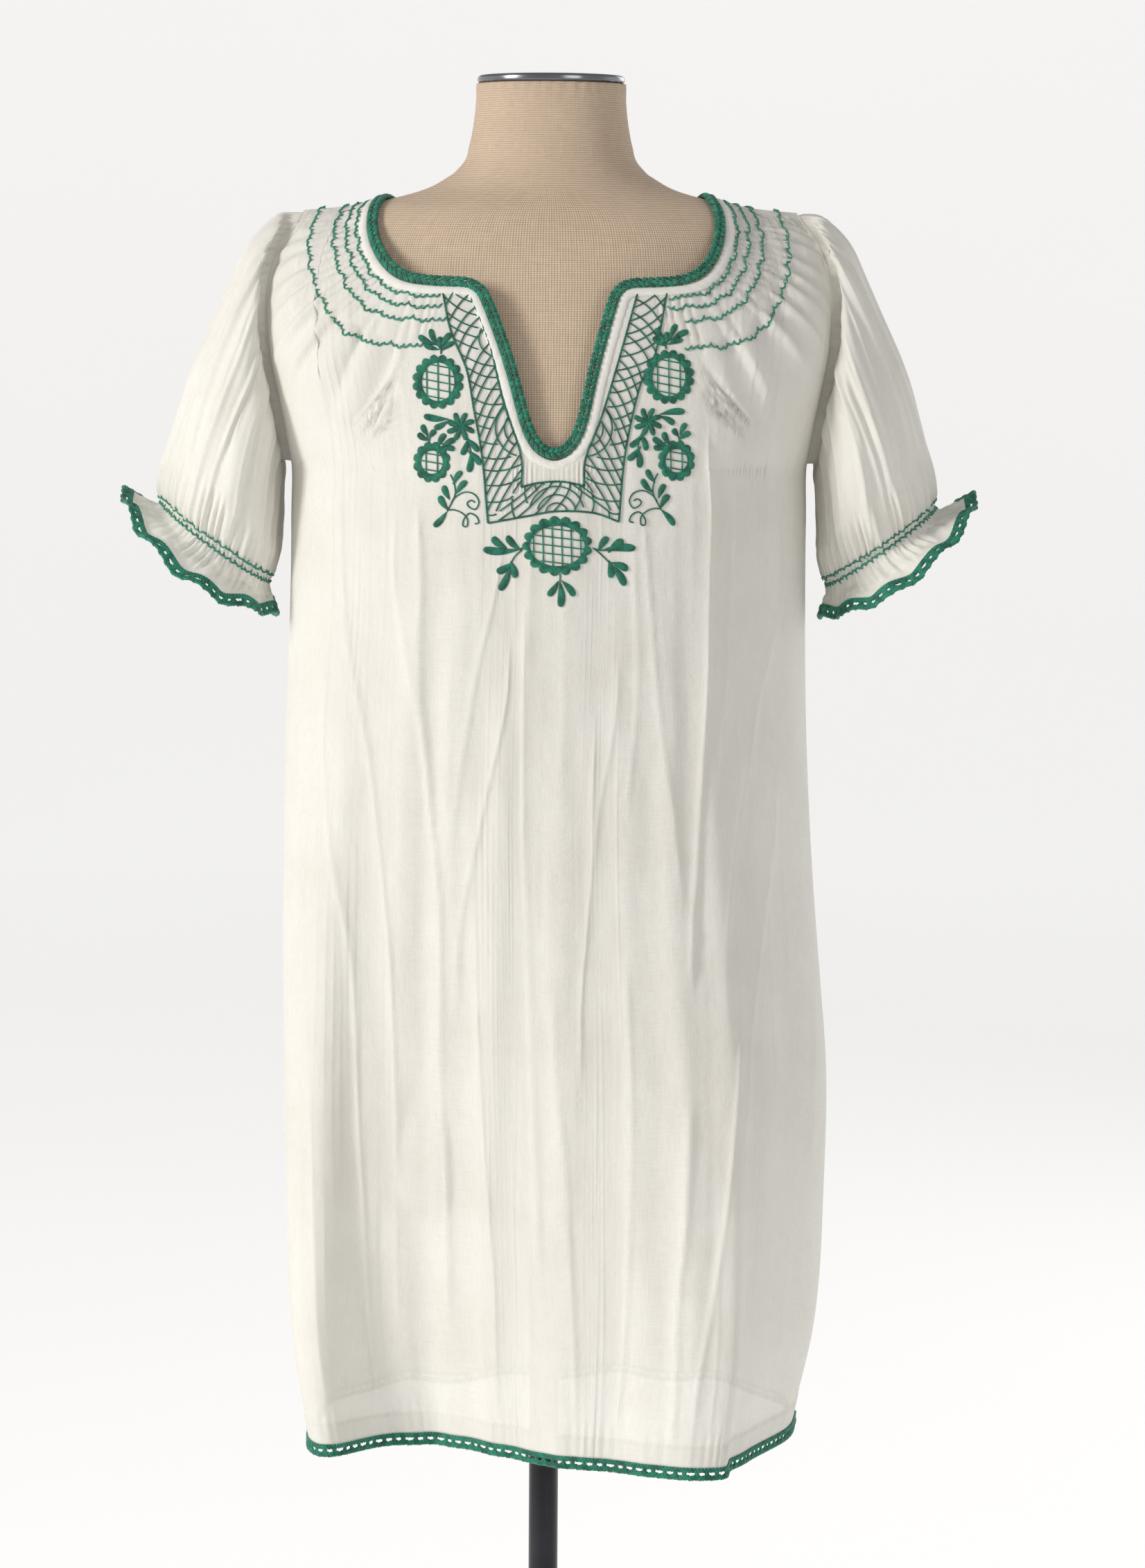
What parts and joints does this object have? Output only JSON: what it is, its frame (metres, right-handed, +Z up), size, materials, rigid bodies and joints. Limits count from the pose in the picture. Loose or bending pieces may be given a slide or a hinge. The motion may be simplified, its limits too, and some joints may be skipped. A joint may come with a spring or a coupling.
{
  "type": "mini dress on dress form",
  "caption": "Ivory cotton voile mini dress with smocked yoke, slit neck, short puff sleeves and green crochet edges, on a linen dress form with a round base",
  "frame": {"origin": "middle of the underside of the round base, on the floor", "axes": "+Z up along the pole, +X to the right as the front of the dress is looked at, +Y from the front of the dress to its back"},
  "size_m": [0.5976, 0.36, 1.5592],
  "materials": {
    "ivory_voile": "semi-sheer plain weave",
    "ivory_binding": "folded bias strip",
    "green_cotton": "crocheted thread",
    "tan_linen": "slubby plain weave",
    "dark_chrome": "polished",
    "black_enamel": "gloss"
  },
  "bodies": {
    "root": {"front_panel": "ivory_voile", "back_panel": "ivory_voile", "sleeve_left": "ivory_voile", "sleeve_right": "ivory_voile", "neck_binding": "ivory_binding", "neck_edging": "green_cotton", "hem_edging": "green_cotton", "cuff_edging_left": "green_cotton", "cuff_edging_right": "green_cotton", "form_torso": "tan_linen", "neck_cap": "dark_chrome", "pole_flange": "black_enamel", "pole": "black_enamel", "base_socket": "black_enamel", "base_disc": "black_enamel"}
  },
  "joints": []
}
